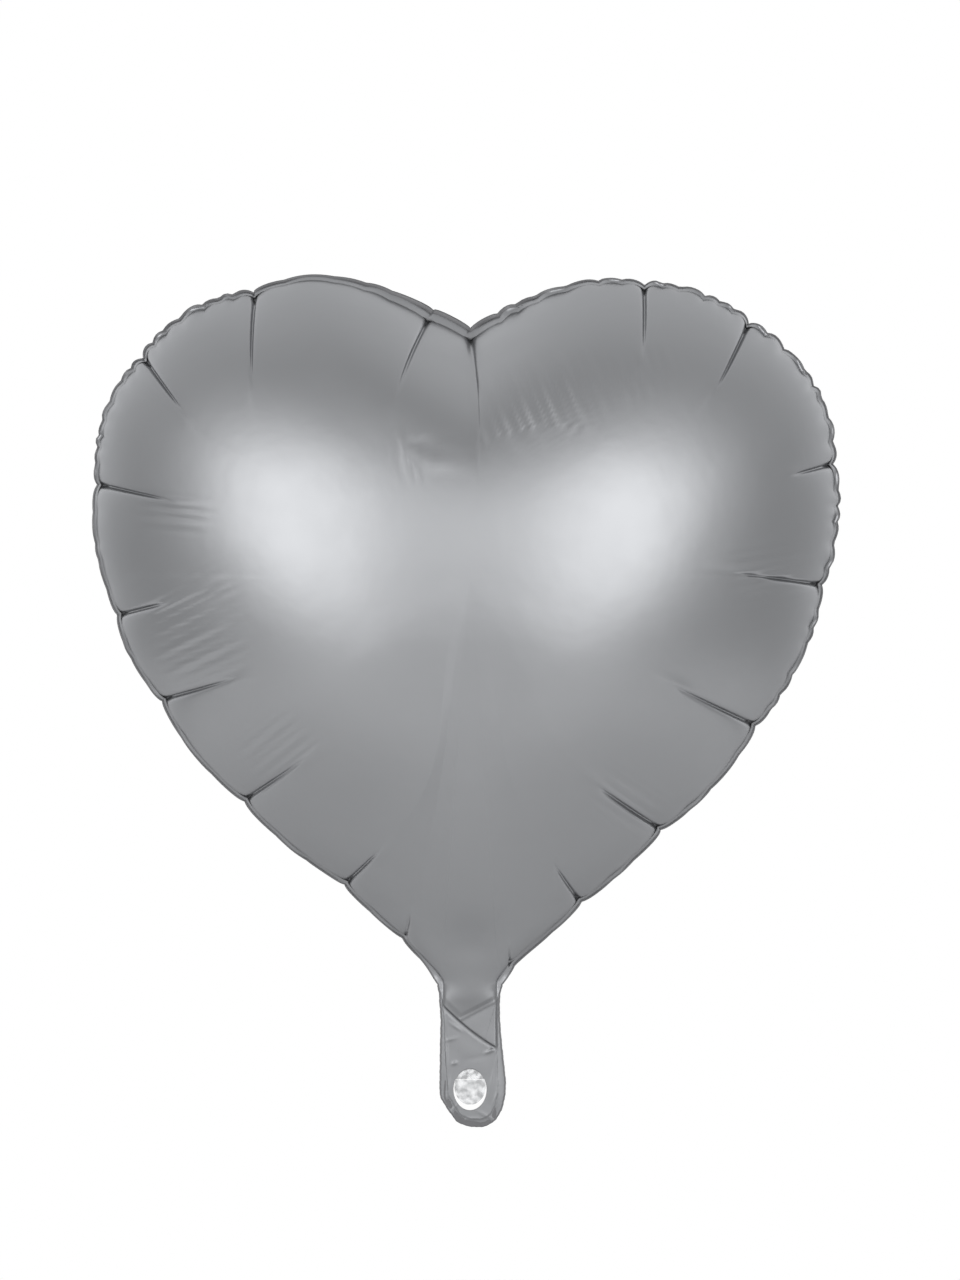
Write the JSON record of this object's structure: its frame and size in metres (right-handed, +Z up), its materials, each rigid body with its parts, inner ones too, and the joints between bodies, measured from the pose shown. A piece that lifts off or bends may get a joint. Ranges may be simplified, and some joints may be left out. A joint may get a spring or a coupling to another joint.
{
  "type": "heart-shaped foil balloon",
  "caption": "Inflated heart-shaped balloon of two welded foil sheets, with a flat filling tail that folds at the neck, a fill hole and a self-sealing flat valve.",
  "frame": {"origin": "middle of the neck, on the fold line where the flat tail meets the heart, where a ribbon is tied", "axes": "+Z up along the heart's middle line from the neck to the cleft, +X to the right seen from the front, -Y out of the front panel, +Y through the balloon's depth"},
  "size_m": [0.376, 0.1734, 0.4265],
  "materials": {
    "satin_foil": "satin",
    "weld_layer": "satin",
    "clear_film": "gloss",
    "release_ink": "matte"
  },
  "bodies": {
    "heart": {"front_panel": "satin_foil", "back_panel": "satin_foil", "rim_weld": "weld_layer", "neck_weld": "weld_layer", "inner_valve_front_film": "clear_film", "inner_valve_back_film": "clear_film", "inner_valve_side_seals": "clear_film", "release_patch": "release_ink"},
    "tail": {"tail_front_ply": "satin_foil", "tail_back_ply": "satin_foil", "tail_edge_weld": "weld_layer", "tail_valve_front_film": "clear_film", "tail_valve_back_film": "clear_film", "tail_valve_side_seals": "clear_film"},
    "front_lip": {"front_valve_lip": "clear_film"},
    "back_lip": {"back_valve_lip": "clear_film"}
  },
  "joints": [
    {"name": "tail_fold", "type": "hinge", "parent": "heart", "child": "tail", "pos_m": [0, 0, 0], "axis": [1, 0, 0], "range_deg": [-125, 125]},
    {"name": "front_lip_open", "type": "hinge", "parent": "tail", "child": "front_lip", "pos_m": [0, -0.00028, -0.048], "axis": [-1, 0, 0], "range_deg": [0, 75]},
    {"name": "back_lip_open", "type": "hinge", "parent": "tail", "child": "back_lip", "pos_m": [0, 0.00028, -0.048], "axis": [1, 0, 0], "range_deg": [0, 75]}
  ]
}
